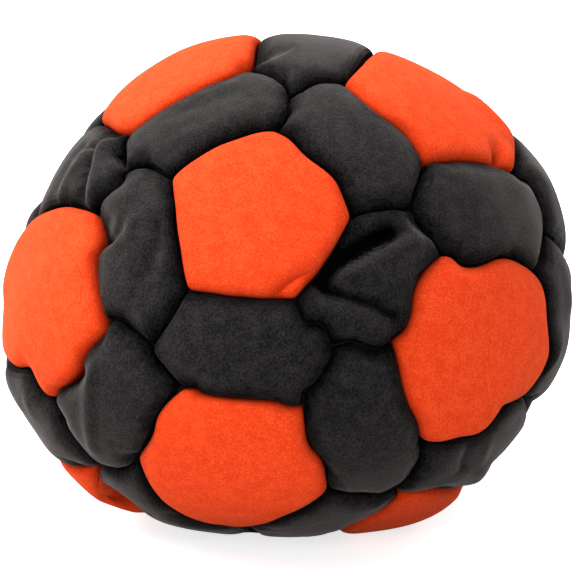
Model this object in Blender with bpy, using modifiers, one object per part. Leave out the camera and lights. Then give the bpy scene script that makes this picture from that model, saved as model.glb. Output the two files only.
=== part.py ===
"""A sand-filled footbag, sewn from forty-two panels of synthetic suede.

The ball rests on its own flat foot at the origin, with +Z up, and its front faces -Y.
Twelve orange panels stand at the corners of an icosahedron and thirty charcoal ones on
its edges, and three panels meet at each of the eighty seam junctions. Every place on the
ball is a point of a unit ball, which the named sizes stretch to the slumped shape.
"""
import bpy
import bmesh
from math import atan2, cos, exp, pi, radians, sin, sqrt
from mathutils import Matrix, Vector

# Sizes of the whole ball, in metres
BALL_WIDTH = 0.0534
TOP_RISE = 0.0271
BOTTOM_DROP = 0.0195
FOOT_DROP = 0.0181
LEAN_SHARE = 0.05
# Where the sand lies fuller or slacker than in an even ball: azimuth and elevation in
# degrees, then how far out and how wide, as shares of half the ball's width
SETTLED_SHARES = (
    ((-124, 60), 0.040, 0.34),
    ((128, 66), -0.028, 0.26),
    ((97, 27), 0.032, 0.22),
    ((-98, 28), -0.028, 0.20),
    ((-84, -30), -0.016, 0.20),
    ((78, -27), -0.052, 0.33),
    ((-66, -50), 0.022, 0.20),
    ((62, -55), 0.036, 0.20),
)

# Sizes of the skin, its seams and the filling, in metres
SUEDE_THICKNESS = 0.0007
SEAM_DEPTH = 0.0018
SEAM_ALLOWANCE = 0.0020
THREAD_WIDTH = 0.0004
CLEARANCE = 0.0003
# How deep in the ball the skin's outside lies before its place on the foot starts to rise
FOOT_PRESS = 0.0007

# How finely a panel is divided: along each seam, and from its middle to its seams, where
# the inner side's rings stand further in under the steep edge of the crown
SEAM_STEPS = 2
PANEL_RING_SHARES = (0, 0.5, 0.8, 0.93, 1)
INNER_RING_SHARES = (0, 0.5, 0.77, 0.88, 1)
FILLING_RING_SHARES = (0, 0.55, 1)
CROWN_POWER = 8

# How the layout is turned on the ball, in degrees
FRONT_PANEL_AZIMUTH = -11.6
FRONT_PANEL_ELEVATION = 40.3
FRONT_PANEL_SPIN = 125.4
CORNER_SHARE = 0.87

# The photograph's view of the ball, in pixels and degrees
VIEW_ELEVATION = 15.0
PHOTO_CENTRE = (287.0, 325.0)
PHOTO_HALF_WIDTH = 286.0
PHOTO_TOP_RISE = 291.0
PHOTO_BOTTOM_DROP = 209.0
PHOTO_SEAM_DEPTH = 18.0
SIGHT_STEPS = 3

# Where each orange panel's middle lies, as azimuth from the front and elevation in degrees
ORANGE_PLACES = {
    "centre": (-12, 40),
    "upper_left": (-116, 58),
    "upper_right": (92, 57),
    "right": (47, 4),
    "low": (-12, -23),
    "left": (-70, 5),
    "bottom_left": (-88, -57),
    "bottom_right": (64, -58),
    "back_right": (110, -5),
    "back_top": (168, 23),
    "back_left": (-133, -4),
    "back_low": (168, -40),
}

# Corners of orange panels that the photograph shows, in its pixels: the panel whose
# corner it is, then the two orange panels that it points between
SEEN_CORNERS = {
    ("centre", "upper_left", "upper_right"): (275, 131),
    ("centre", "right", "upper_right"): (350, 219),
    ("centre", "low", "right"): (295, 299),
    ("centre", "left", "low"): (190, 290),
    ("centre", "left", "upper_left"): (172, 179),
    ("upper_left", "centre", "left"): (131, 129),
    ("upper_left", "centre", "upper_right"): (243, 67),
    ("upper_right", "centre", "upper_left"): (344, 81),
    ("upper_right", "centre", "right"): (424, 163),
    ("upper_right", "back_right", "right"): (516, 170),
    ("right", "centre", "upper_right"): (441, 254),
    ("right", "back_right", "upper_right"): (537, 272),
    ("right", "back_right", "bottom_right"): (527, 395),
    ("right", "centre", "low"): (391, 339),
    ("right", "bottom_right", "low"): (421, 440),
    ("low", "centre", "left"): (184, 387),
    ("low", "centre", "right"): (304, 403),
    ("low", "bottom_right", "right"): (328, 489),
    ("low", "bottom_left", "left"): (138, 456),
    ("low", "bottom_left", "bottom_right"): (243, 529),
    ("left", "centre", "upper_left"): (98, 214),
    ("left", "centre", "low"): (107, 320),
    ("left", "bottom_left", "low"): (51, 401),
    ("bottom_left", "left", "low"): (93, 479),
    ("bottom_right", "low", "right"): (402, 497),
}
# Junctions of three charcoal panels, by the orange panels around them, in pixels
SEEN_JUNCTIONS = {
    ("centre", "upper_left", "upper_right"): (288, 97),
    ("centre", "right", "upper_right"): (410, 209),
    ("centre", "low", "right"): (331, 345),
    ("centre", "left", "low"): (154, 346),
    ("centre", "left", "upper_left"): (119, 172),
    ("bottom_right", "low", "right"): (397, 486),
    ("bottom_left", "left", "low"): (99, 466),
    ("back_right", "right", "upper_right"): (549, 229),
}
# Corners just behind the ball's rim or on its foot, as azimuth and elevation in degrees
HIDDEN_CORNERS = {
    ("upper_right", "back_top", "upper_left"): (137, 65),
    ("upper_right", "back_right", "back_top"): (112, 42),
    ("upper_left", "back_left", "left"): (-103, 44),
    ("left", "back_left", "upper_left"): (-95, 20),
    ("left", "back_left", "bottom_left"): (-94, -6),
    ("bottom_left", "bottom_right", "low"): (-60, -63),
    ("bottom_right", "bottom_left", "low"): (26, -62),
    ("bottom_right", "back_right", "right"): (78, -44),
    ("back_right", "right", "upper_right"): (98, 10),
    ("back_right", "bottom_right", "right"): (96, -19),
}
# Junctions of three charcoal panels there
HIDDEN_JUNCTIONS = {
    ("back_left", "left", "upper_left"): (-106, 31),
    ("bottom_left", "bottom_right", "low"): (-14, -69),
    ("back_right", "bottom_right", "right"): (86, -25),
}
# Middles of seams that the photograph shows bowed, by the two panels they join, in pixels
SEEN_SEAM_MIDDLES = {
    ("centre", "centre_to_upper_left"): (220, 150),
    ("centre", "centre_to_upper_right"): (319, 166),
    ("centre", "centre_to_right"): (327, 256),
    ("low", "centre_to_low"): (244, 393),
    ("low", "right_to_low"): (309, 445),
    ("low", "low_to_left"): (159, 424),
    ("low", "low_to_bottom_left"): (172, 507),
    ("low", "low_to_bottom_right"): (287, 513),
    ("right", "centre_to_right"): (411, 294),
    ("right", "right_to_low"): (400, 393),
    ("right", "right_to_bottom_right"): (475, 430),
    ("right", "upper_right_to_right"): (482, 262),
    ("right", "right_to_back_right"): (549, 335),
    ("upper_right", "upper_right_to_right"): (480, 165),
    ("upper_left", "centre_to_upper_left"): (187, 99),
    ("left", "centre_to_left"): (101, 267),
    ("left", "low_to_left"): (81, 371),
    ("left", "upper_left_to_left"): (66, 212),
    ("centre_to_right", "upper_right_to_right"): (430, 226),
    ("centre_to_right", "right_to_low"): (361, 346),
    ("centre_to_upper_right", "centre_to_right"): (380, 211),
    ("right_to_low", "low_to_bottom_right"): (364, 494),
    ("bottom_right", "low_to_bottom_right"): (373, 517),
    ("bottom_right", "right_to_bottom_right"): (437, 491),
    ("bottom_left", "low_to_bottom_left"): (113, 499),
    ("left", "left_to_bottom_left"): (26, 368),
}
# How far, in radians, the junctions read from the photograph draw unseen ones along
DRAW_REACH = 0.45
DRAW_FLOOR_SHARE = 0.5


def clear_scene():
    for old in list(bpy.data.objects):
        bpy.data.objects.remove(old, do_unlink=True)


def matt_material(name, colour, roughness):
    """A dull, non-metal finish in a linear colour."""
    material = bpy.data.materials.new(name)
    material.use_nodes = True
    shader = material.node_tree.nodes["Principled BSDF"]
    shader.inputs["Base Color"].default_value = (*colour, 1)
    shader.inputs["Roughness"].default_value = roughness
    shader.inputs["Metallic"].default_value = 0
    return material


def on_unit_ball(azimuth, elevation):
    """The unit vector at an azimuth from -Y towards +X, and an elevation, in degrees."""
    turn, tilt = radians(azimuth), radians(elevation)
    return Vector((sin(turn) * cos(tilt), -cos(turn) * cos(tilt), sin(tilt)))


def settled_share(unit):
    """How far out of the even ball's shape the skin lies, as a share of half the ball's width."""
    return sum(out * exp(-((unit - on_unit_ball(*place)).length / width) ** 2)
               for place, out, width in SETTLED_SHARES)


def on_ball(unit, height, inside=0):
    """The place of a unit vector on the slumped ball, a height above the crowns' shape.

    The inner side of a wall lies its thickness inside that. The upper part leans to the
    right. The floor presses the underside flat, and what lies deeper than FOOT_PRESS in the
    ball stays that much less above the floor.
    """
    rise = TOP_RISE if unit.z > 0 else BOTTOM_DROP
    out = height - inside + settled_share(unit) * BALL_WIDTH / 2
    half = BALL_WIDTH / 2 + out
    level = unit.z * (rise + out)
    above_floor = max(FOOT_DROP + level, inside + max(-height - FOOT_PRESS, 0))
    return Vector((unit.x * half + LEAN_SHARE * level, unit.y * half, above_floor))


def met_by_sight(pixel, depth):
    """The unit vector where a pixel's line of sight meets the even ball, a depth below its crowns."""
    tilt = radians(VIEW_ELEVATION)
    right = pixel[0] - PHOTO_CENTRE[0]
    up = PHOTO_CENTRE[1] - pixel[1]
    half = PHOTO_HALF_WIDTH - depth
    for rise in (PHOTO_TOP_RISE - depth, PHOTO_BOTTOM_DROP - depth):
        # A point on the line of sight and the way to the camera, in the unit ball's measure
        start = Vector(((right - LEAN_SHARE * up * cos(tilt)) / half,
                        up * sin(tilt) / half, up * cos(tilt) / rise))
        toward = Vector((-LEAN_SHARE * sin(tilt) / half, -cos(tilt) / half, sin(tilt) / rise))
        square = toward.dot(toward)
        cross = start.dot(toward)
        under_root = cross * cross - square * (start.dot(start) - 1)
        reach = (sqrt(max(under_root, 0)) - cross) / square
        unit = (start + toward * reach).normalized()
        if unit.z >= 0:
            break
    return unit


def turned_away(unit):
    """How far the skin at a unit vector is turned from the camera, up to 1 at the ball's rim."""
    tilt = radians(VIEW_ELEVATION)
    rise = PHOTO_TOP_RISE if unit.z > 0 else PHOTO_BOTTOM_DROP
    toward = Vector((-LEAN_SHARE * sin(tilt) / PHOTO_HALF_WIDTH,
                     -cos(tilt) / PHOTO_HALF_WIDTH, sin(tilt) / rise))
    return toward.angle(unit) / (pi / 2)


def seen_on_unit_ball(pixel):
    """The unit vector of the seam point that the photograph shows at a pixel.

    The more the skin is turned away, the more of a seam's depth the nearer crown hides.
    """
    unit = met_by_sight(pixel, 0)
    for _ in range(SIGHT_STEPS):
        depth = PHOTO_SEAM_DEPTH * (1 - turned_away(unit))
        unit = met_by_sight(pixel, depth - settled_share(unit) * PHOTO_HALF_WIDTH)
    return unit


def turned_layout():
    """An icosphere with one vertex for each panel and one face for each seam junction."""
    turn = (Matrix.Rotation(radians(FRONT_PANEL_AZIMUTH), 3, "Z")
            @ Matrix.Rotation(radians(90 - FRONT_PANEL_ELEVATION), 3, "X")
            @ Matrix.Rotation(radians(FRONT_PANEL_SPIN), 3, "Z"))
    layout = bmesh.new()
    bmesh.ops.create_icosphere(layout, subdivisions=2, radius=1)
    bmesh.ops.rotate(layout, verts=layout.verts, cent=(0, 0, 0), matrix=turn)
    return layout


def is_orange(vert):
    return len(vert.link_edges) == 5


def orange_names(layout):
    """Each five-sided panel's vertex with the name of the place nearest to it."""
    places = {name: on_unit_ball(*place) for name, place in ORANGE_PLACES.items()}
    return {vert: max(places, key=lambda name: places[name].dot(vert.co))
            for vert in layout.verts if is_orange(vert)}


def panel_names(layout):
    """A name for each panel's vertex: a charcoal one is named for the two it lies between."""
    names = orange_names(layout)
    order = list(ORANGE_PLACES)
    for vert in layout.verts:
        if not is_orange(vert):
            around = [edge.other_vert(vert) for edge in vert.link_edges]
            pair = sorted((names[other] for other in around if is_orange(other)), key=order.index)
            names[vert] = "_to_".join(pair)
    return names


def named_junctions(layout):
    """Each face with its own orange panel, if it has one, and the names it is known by."""
    orange = orange_names(layout)
    known = {}
    for face in layout.faces:
        own = [orange[vert] for vert in face.verts if is_orange(vert)]
        around = set()
        for vert in face.verts:
            around.update(orange[edge.other_vert(vert)] for edge in vert.link_edges
                          if not is_orange(vert) and is_orange(edge.other_vert(vert)))
        known[face] = tuple(own + sorted(around - set(own)))
    return known


def even_junctions(layout):
    """Each face's junction on an even ball, as a unit vector."""
    even = {}
    for face in layout.faces:
        own = [vert.co for vert in face.verts if is_orange(vert)]
        others = [vert.co for vert in face.verts if not is_orange(vert)]
        middle = sum(others, Vector()) / len(others)
        even[face] = (own[0].lerp(middle, CORNER_SHARE) if own else middle).normalized()
    return even


def read_junctions(layout):
    """The junctions whose places are read from the photograph, as unit vectors."""
    read = {}
    for face, key in named_junctions(layout).items():
        is_corner = any(is_orange(vert) for vert in face.verts)
        pixels = SEEN_CORNERS if is_corner else SEEN_JUNCTIONS
        hidden = HIDDEN_CORNERS if is_corner else HIDDEN_JUNCTIONS
        if key in pixels:
            read[face] = seen_on_unit_ball(pixels[key])
        elif key in hidden:
            read[face] = on_unit_ball(*hidden[key])
    return read


def junction_places(layout):
    """Every junction as a unit vector: the unseen ones shift with the nearest that are read."""
    even = even_junctions(layout)
    places = read_junctions(layout)
    shifts = {face: place - even[face] for face, place in places.items()}
    for face in layout.faces:
        if face in places:
            continue
        pulls = {other: 2 ** -((even[face].angle(even[other]) / DRAW_REACH) ** 2)
                 for other in shifts}
        shift = sum((pull * shifts[other] for other, pull in pulls.items()), Vector())
        drawn = even[face] + shift / (DRAW_FLOOR_SHARE + sum(pulls.values()))
        places[face] = drawn.normalized()
    return places


def seam_middle(edge, names):
    """The middle of the seam between two panels, where the photograph shows it bowed."""
    pair = [names[vert] for vert in edge.verts]
    pixel = SEEN_SEAM_MIDDLES.get(tuple(pair)) or SEEN_SEAM_MIDDLES.get(tuple(reversed(pair)))
    return seen_on_unit_ball(pixel) if pixel else None


def seam_points(start, end, middle):
    """Points along one seam from its start, short of its end, bowed through its middle."""
    bow = middle - start.slerp(end, 1 / 2) if middle else Vector()
    points = []
    for step in range(SEAM_STEPS):
        share = step / SEAM_STEPS
        points.append((start.slerp(end, share) + bow * 4 * share * (1 - share)).normalized())
    return points


def outline(vert, places, names):
    """A panel's seams one after another, as unit vectors, anticlockwise from outside."""
    points = []
    loop = vert.link_loops[0]
    for _ in vert.link_loops:
        # Going round the vertex, the edge before this loop is the seam to the next face
        edge = loop.link_loop_prev.edge
        after = loop.link_loop_prev.link_loop_radial_next
        points += seam_points(places[loop.face], places[after.face], seam_middle(edge, names))
        loop = after
    return points


def inset(points, width):
    """An outline drawn in by a width, measured on the ball, with mitred corners."""
    drawn = []
    for index, point in enumerate(points):
        before = points[index - 1]
        after = points[(index + 1) % len(points)]
        first = point.cross(point - before).normalized()
        second = point.cross(after - point).normalized()
        inward = (first + second) / (1 + first.dot(second))
        drawn.append((point + inward * width / (BALL_WIDTH / 2)).normalized())
    return drawn


def add_dome(mesh, points, ring_shares, heights, inside=0):
    """Add a disc whose rim follows the points, with a ring at each share's height.

    It returns the rim's vertices in the points' order.
    """
    rings = len(ring_shares) - 1
    disc = bmesh.ops.create_circle(mesh, cap_ends=True, cap_tris=True, segments=len(points), radius=1)
    spokes = {edge for vert in disc["verts"] for edge in vert.link_edges if not edge.is_boundary}
    bmesh.ops.subdivide_edges(mesh, edges=list(spokes), cuts=rings - 1)
    middle = sum(points, Vector()).normalized()
    rim = [None] * len(points)
    for vert in mesh.verts:
        if vert.tag:
            continue
        ring = round(vert.co.length * rings)
        turn = atan2(-vert.co.x, vert.co.y) / (2 * pi)
        spoke = round(turn * len(points)) % len(points)
        unit = middle.lerp(points[spoke], ring_shares[ring]).normalized()
        vert.co = on_ball(unit, heights[ring], inside)
        vert.tag = True
        if ring == rings:
            rim[spoke] = vert
    return rim


def add_skirt(mesh, rim, points, height):
    """Join a rim of vertices to a new one that follows the points at a height."""
    outer = [mesh.verts.new(on_ball(point, height)) for point in points]
    for index in range(len(rim)):
        mesh.faces.new((rim[index - 1], outer[index - 1], outer[index], rim[index]))
        outer[index].tag = True
    return outer


def make_object(name, mesh, material, collection):
    """Turn a bmesh into a smooth-shaded object in the ball's collection."""
    data = bpy.data.meshes.new(name)
    mesh.to_mesh(data)
    mesh.free()
    data.materials.append(material)
    data.shade_smooth()
    piece = bpy.data.objects.new(name, data)
    collection.objects.link(piece)
    return piece


def make_panel(name, points, material, collection):
    """One panel: a crown, a flat edge for the thread, and a seam allowance turned in."""
    heights = [-SEAM_DEPTH * (1 - sqrt(1 - share ** CROWN_POWER)) for share in PANEL_RING_SHARES]
    end_height = -SEAM_DEPTH - SEAM_ALLOWANCE
    outer_edge = inset(points, CLEARANCE / 2)
    inner_edge = inset(points, CLEARANCE / 2 + SUEDE_THICKNESS)
    mesh = bmesh.new()
    # The outside, from the crown's middle to the end of the allowance
    rim = add_dome(mesh, inset(points, THREAD_WIDTH / 2 + CLEARANCE), PANEL_RING_SHARES, heights)
    seam = add_skirt(mesh, rim, outer_edge, -SEAM_DEPTH)
    add_skirt(mesh, seam, outer_edge, end_height)
    # The inside, and the allowance's cut edge that joins it to the outside
    rim = add_dome(mesh, inner_edge, INNER_RING_SHARES, heights, SUEDE_THICKNESS)
    cut = add_skirt(mesh, rim, inner_edge, end_height)
    add_skirt(mesh, cut, outer_edge, end_height)
    bmesh.ops.remove_doubles(mesh, verts=mesh.verts, dist=CLEARANCE / 10)
    bmesh.ops.recalc_face_normals(mesh, faces=mesh.faces)
    return make_object(name, mesh, material, collection)


def make_thread(outlines, material, collection):
    """The sewing thread, one run along all seams at the bottom of their valleys."""
    height = CLEARANCE + THREAD_WIDTH - SEAM_DEPTH
    mesh = bmesh.new()
    for points in outlines:
        side = [mesh.verts.new(on_ball(point, height)) for point in inset(points, THREAD_WIDTH / 2)]
        add_skirt(mesh, side, points, height)
    bmesh.ops.remove_doubles(mesh, verts=mesh.verts, dist=CLEARANCE / 10)
    thread = make_object("seam_thread", mesh, material, collection)
    run = thread.modifiers.new("thread", "SOLIDIFY")
    run.thickness = THREAD_WIDTH
    run.offset = -1
    return thread


def make_filling(outlines, material, collection):
    """The sand, one body that fills the panels' crowns and dips under the allowances."""
    low = -SEAM_DEPTH - SEAM_ALLOWANCE - CLEARANCE
    high = -SUEDE_THICKNESS - 2 * CLEARANCE - SEAM_DEPTH / 2
    mesh = bmesh.new()
    for points in outlines:
        inside = inset(points, SUEDE_THICKNESS + 2 * CLEARANCE)
        rim = add_dome(mesh, inside, FILLING_RING_SHARES, (high, high, low))
        add_skirt(mesh, rim, points, low)
    bmesh.ops.remove_doubles(mesh, verts=mesh.verts, dist=CLEARANCE / 10)
    return make_object("sand_filling", mesh, material, collection)


def main():
    clear_scene()
    collection = bpy.data.collections.new("footbag")
    bpy.context.scene.collection.children.link(collection)
    orange = matt_material("orange_suede", (0.85, 0.10, 0.03), 0.95)
    charcoal = matt_material("charcoal_suede", (0.045, 0.042, 0.04), 0.95)
    black = matt_material("black_thread", (0.012, 0.012, 0.012), 0.7)
    sand = matt_material("sand", (0.55, 0.42, 0.26), 0.9)
    layout = turned_layout()
    names = panel_names(layout)
    places = junction_places(layout)
    outlines = {vert: outline(vert, places, names) for vert in layout.verts}
    for vert, points in outlines.items():
        if is_orange(vert):
            make_panel("orange_" + names[vert], points, orange, collection)
        else:
            make_panel("charcoal_" + names[vert], points, charcoal, collection)
    make_thread(outlines.values(), black, collection)
    make_filling(outlines.values(), sand, collection)
    layout.free()


main()
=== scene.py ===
# %% [markdown]
# A sewn footbag, dressed for a close look
#
# A footbag is a small ball for kicking: forty-two panels of synthetic suede, sewn edge to
# edge and filled with sand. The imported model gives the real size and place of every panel,
# so this lesson only makes their surface: soft crowns, drawn-in seams, puckers and nap.

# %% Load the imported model
from math import cos, pi, radians, sin

import bmesh
import bpy
import numpy as np
from mathutils import Matrix, Vector, noise


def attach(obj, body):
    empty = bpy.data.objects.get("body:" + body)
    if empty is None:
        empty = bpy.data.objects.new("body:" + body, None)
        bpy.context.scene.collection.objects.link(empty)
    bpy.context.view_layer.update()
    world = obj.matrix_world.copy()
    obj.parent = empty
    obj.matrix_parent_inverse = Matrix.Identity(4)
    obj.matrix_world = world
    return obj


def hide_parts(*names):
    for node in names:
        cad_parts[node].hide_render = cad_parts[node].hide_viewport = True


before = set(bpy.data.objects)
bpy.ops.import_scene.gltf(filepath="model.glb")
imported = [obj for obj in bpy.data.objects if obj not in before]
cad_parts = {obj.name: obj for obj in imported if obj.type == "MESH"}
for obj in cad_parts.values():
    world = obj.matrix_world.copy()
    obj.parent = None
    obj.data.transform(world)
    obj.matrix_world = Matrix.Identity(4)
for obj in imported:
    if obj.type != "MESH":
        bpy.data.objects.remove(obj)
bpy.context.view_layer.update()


def new_object(name, data):
    """An object for the data, in the scene."""
    made = bpy.data.objects.new(name, data)
    bpy.context.scene.collection.objects.link(made)
    return made


# %% [markdown]
# The ball's shape
#
# A sand-filled ball slumps: it is wider than it is tall, it stands on a flat foot, and its
# sand settles fuller in some places than in others. Every place on it is first a point of a
# unit ball, and one function stretches those points to the slumped shape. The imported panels
# were made from the same sizes. Only three of the settled places and one junction with its
# seams differ a little here, where the photograph's outline asked for it.

# %% Sizes of the ball, in metres
BALL_WIDTH = 0.0534
HALF_WIDTH = BALL_WIDTH / 2
TOP_RISE = 0.0271
BOTTOM_DROP = 0.0195
FOOT_DROP = 0.0181
LEAN_SHARE = 0.05
# Where the sand lies fuller or slacker than in an even ball: azimuth and elevation in
# degrees, then how far out and how wide, as shares of half the ball's width
SETTLED_SHARES = (
    ((-124, 60), 0.040, 0.34),
    ((128, 66), -0.008, 0.26),
    ((97, 27), 0.032, 0.22),
    ((-98, 28), -0.020, 0.20),
    ((-84, -30), -0.016, 0.20),
    ((78, -27), -0.036, 0.33),
    ((-66, -50), 0.022, 0.20),
    ((62, -55), 0.036, 0.20),
)
FOOT_PRESS = 0.0007
SEAM_DEPTH = 0.0018
SEAM_ALLOWANCE = 0.0020
SUEDE_THICKNESS = 0.0007
THREAD_WIDTH = 0.0004
# No divisor is let under this
TINY = 1e-9
# Sewn panels press on each other, so only a hair's breadth is left between them here
SEAM_GAP = 0.00012


def on_unit_ball(azimuth, elevation):
    """The unit vector at an azimuth from -Y towards +X, and an elevation, in degrees."""
    turn, tilt = radians(azimuth), radians(elevation)
    return Vector((sin(turn) * cos(tilt), -cos(turn) * cos(tilt), sin(tilt)))


def settled_share(units):
    """How far out of the even ball's shape the skin lies, as a share of half the ball's width."""
    return sum(out * np.exp(-(np.linalg.norm(units - np.array(on_unit_ball(*place)), axis=-1)
                              / width) ** 2)
               for place, out, width in SETTLED_SHARES)


def on_ball(units, heights):
    """Places on the slumped ball, for rows of unit vectors at heights above the crowns."""
    rise = np.where(units[:, 2] > 0, TOP_RISE, BOTTOM_DROP)
    out = heights + settled_share(units) * HALF_WIDTH
    half = HALF_WIDTH + out
    level = units[:, 2] * (rise + out)
    above_floor = np.maximum(np.maximum(FOOT_DROP + level, -heights - FOOT_PRESS), 0)
    return np.column_stack((units[:, 0] * half + LEAN_SHARE * level, units[:, 1] * half,
                            above_floor))


# %% [markdown]
# Reading places from the photograph
#
# The photograph looks at the ball from a little above. A seam point seen at a pixel lies on
# that pixel's line of sight, where the line meets the ball at the seams' depth. Solving that
# once in a function turns every listed pixel into a point of the unit ball.

# %% The photograph's view, in pixels and degrees
VIEW_ELEVATION = 15.0
PHOTO_SIZE = 576
PHOTO_CENTRE = (287.0, 325.0)
PHOTO_HALF_WIDTH = 286.0
PHOTO_TOP_RISE = 291.0
PHOTO_BOTTOM_DROP = 209.0
PHOTO_SEAM_DEPTH = 18.0
SIGHT_STEPS = 3
PIXEL = HALF_WIDTH / PHOTO_HALF_WIDTH


def met_by_sight(pixel, depth):
    """Where a pixel's line of sight meets the even ball, a depth below its crowns."""
    tilt = radians(VIEW_ELEVATION)
    right, up = pixel[0] - PHOTO_CENTRE[0], PHOTO_CENTRE[1] - pixel[1]
    half = PHOTO_HALF_WIDTH - depth
    for rise in (PHOTO_TOP_RISE - depth, PHOTO_BOTTOM_DROP - depth):
        # A point on the line of sight and the way to the camera, in the unit ball's measure
        start = Vector(((right - LEAN_SHARE * up * cos(tilt)) / half,
                        up * sin(tilt) / half, up * cos(tilt) / rise))
        toward = Vector((-LEAN_SHARE * sin(tilt) / half, -cos(tilt) / half, sin(tilt) / rise))
        square, cross = toward.dot(toward), start.dot(toward)
        under_root = cross * cross - square * (start.dot(start) - 1)
        unit = (start + toward * ((max(under_root, 0) ** 0.5 - cross) / square)).normalized()
        if unit.z >= 0:
            break
    return unit


def turned_away(unit):
    """How far the skin at a unit vector is turned from the camera, up to 1 at the ball's rim."""
    tilt = radians(VIEW_ELEVATION)
    rise = PHOTO_TOP_RISE if unit.z > 0 else PHOTO_BOTTOM_DROP
    toward = Vector((-LEAN_SHARE * sin(tilt) / PHOTO_HALF_WIDTH,
                     -cos(tilt) / PHOTO_HALF_WIDTH, sin(tilt) / rise))
    return toward.angle(unit) / (pi / 2)


def seen_on_unit_ball(pixel, depth=PHOTO_SEAM_DEPTH):
    """The unit vector of the point that the photograph shows at a pixel, at a depth in pixels.

    The more the skin is turned away, the more of a seam's depth the nearer crown hides.
    """
    unit = met_by_sight(pixel, 0)
    for _ in range(SIGHT_STEPS):
        sunk = depth * (1 - turned_away(unit))
        unit = met_by_sight(pixel, sunk - settled_share(np.array(unit)) * PHOTO_HALF_WIDTH)
    return unit


# %% [markdown]
# The layout of the panels
#
# An icosphere cut once has 42 vertices: 12 where five edges meet, for the orange panels, and
# 30 where six meet, for the charcoal ones. Each of its 80 faces is a place where three seams
# join. So the icosphere is the sewing plan, and only its junctions have to move to where the
# photograph shows them.

# %% How the plan is turned, and the name of each orange panel's place
FRONT_PANEL_AZIMUTH = -11.6
FRONT_PANEL_ELEVATION = 40.3
FRONT_PANEL_SPIN = 125.4
CORNER_SHARE = 0.87
ORANGE_PLACES = {
    "centre": (-12, 40),
    "upper_left": (-116, 58),
    "upper_right": (92, 57),
    "right": (47, 4),
    "low": (-12, -23),
    "left": (-70, 5),
    "bottom_left": (-88, -57),
    "bottom_right": (64, -58),
    "back_right": (110, -5),
    "back_top": (168, 23),
    "back_left": (-133, -4),
    "back_low": (168, -40),
}

# %% Junctions that the photograph shows, in its pixels
# The panel whose corner it is, then the two orange panels that it points between
SEEN_CORNERS = {
    ("centre", "upper_left", "upper_right"): (275, 131),
    ("centre", "right", "upper_right"): (350, 219),
    ("centre", "low", "right"): (295, 299),
    ("centre", "left", "low"): (190, 290),
    ("centre", "left", "upper_left"): (172, 179),
    ("upper_left", "centre", "left"): (131, 129),
    ("upper_left", "centre", "upper_right"): (243, 67),
    ("upper_right", "centre", "upper_left"): (344, 81),
    ("upper_right", "centre", "right"): (424, 163),
    ("upper_right", "back_right", "right"): (516, 170),
    ("right", "centre", "upper_right"): (441, 254),
    ("right", "back_right", "upper_right"): (537, 272),
    ("right", "back_right", "bottom_right"): (527, 395),
    ("right", "centre", "low"): (391, 339),
    ("right", "bottom_right", "low"): (421, 440),
    ("low", "centre", "left"): (184, 387),
    ("low", "centre", "right"): (304, 403),
    ("low", "bottom_right", "right"): (328, 489),
    ("low", "bottom_left", "left"): (138, 456),
    ("low", "bottom_left", "bottom_right"): (243, 529),
    ("left", "centre", "upper_left"): (98, 214),
    ("left", "centre", "low"): (107, 320),
    ("left", "bottom_left", "low"): (51, 401),
    ("bottom_left", "left", "low"): (93, 479),
    ("bottom_right", "low", "right"): (402, 497),
}
# Junctions of three charcoal panels, by the orange panels around them
SEEN_JUNCTIONS = {
    ("centre", "upper_left", "upper_right"): (288, 97),
    ("centre", "right", "upper_right"): (410, 209),
    ("centre", "low", "right"): (331, 345),
    ("centre", "left", "low"): (154, 346),
    ("centre", "left", "upper_left"): (124, 172),
    ("bottom_right", "low", "right"): (397, 486),
    ("bottom_left", "left", "low"): (99, 466),
    ("back_right", "right", "upper_right"): (549, 229),
}
# Corners just behind the ball's rim or on its foot, as azimuth and elevation in degrees
HIDDEN_CORNERS = {
    ("upper_right", "back_top", "upper_left"): (137, 65),
    ("upper_right", "back_right", "back_top"): (112, 42),
    ("upper_left", "back_left", "left"): (-103, 44),
    ("left", "back_left", "upper_left"): (-95, 20),
    ("left", "back_left", "bottom_left"): (-94, -6),
    ("bottom_left", "bottom_right", "low"): (-60, -63),
    ("bottom_right", "bottom_left", "low"): (26, -62),
    ("bottom_right", "back_right", "right"): (78, -44),
    ("back_right", "right", "upper_right"): (98, 10),
    ("back_right", "bottom_right", "right"): (96, -19),
}
# Junctions of three charcoal panels there
HIDDEN_JUNCTIONS = {
    ("back_left", "left", "upper_left"): (-106, 31),
    ("bottom_left", "bottom_right", "low"): (-14, -69),
    ("back_right", "bottom_right", "right"): (86, -25),
}
# How far, in radians, the junctions that are seen draw unseen ones along
DRAW_REACH = 0.45
DRAW_FLOOR_SHARE = 0.5
# The seams of an orange panel
ORANGE_SIDES = 5


# %% Name the plan's panels and place its junctions
def turned_layout():
    """The icosphere, turned so that one orange panel faces the camera's upper left."""
    turn = (Matrix.Rotation(radians(FRONT_PANEL_AZIMUTH), 3, "Z")
            @ Matrix.Rotation(radians(90 - FRONT_PANEL_ELEVATION), 3, "X")
            @ Matrix.Rotation(radians(FRONT_PANEL_SPIN), 3, "Z"))
    plan = bmesh.new()
    bmesh.ops.create_icosphere(plan, subdivisions=2, radius=1)
    bmesh.ops.rotate(plan, verts=plan.verts, cent=(0, 0, 0), matrix=turn)
    return plan


def is_orange(vert):
    """Whether a vertex of the plan is an orange panel."""
    return len(vert.link_edges) == ORANGE_SIDES


def panel_names(plan):
    """A name for each vertex: a charcoal panel is named for the two orange ones beside it."""
    spots = {name: on_unit_ball(*place) for name, place in ORANGE_PLACES.items()}
    names = {vert: max(spots, key=lambda name: spots[name].dot(vert.co))
             for vert in plan.verts if is_orange(vert)}
    order = list(ORANGE_PLACES)
    for vert in plan.verts:
        if not is_orange(vert):
            around = [edge.other_vert(vert) for edge in vert.link_edges]
            pair = sorted((names[other] for other in around if is_orange(other)), key=order.index)
            names[vert] = "_to_".join(pair)
    return names


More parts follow.
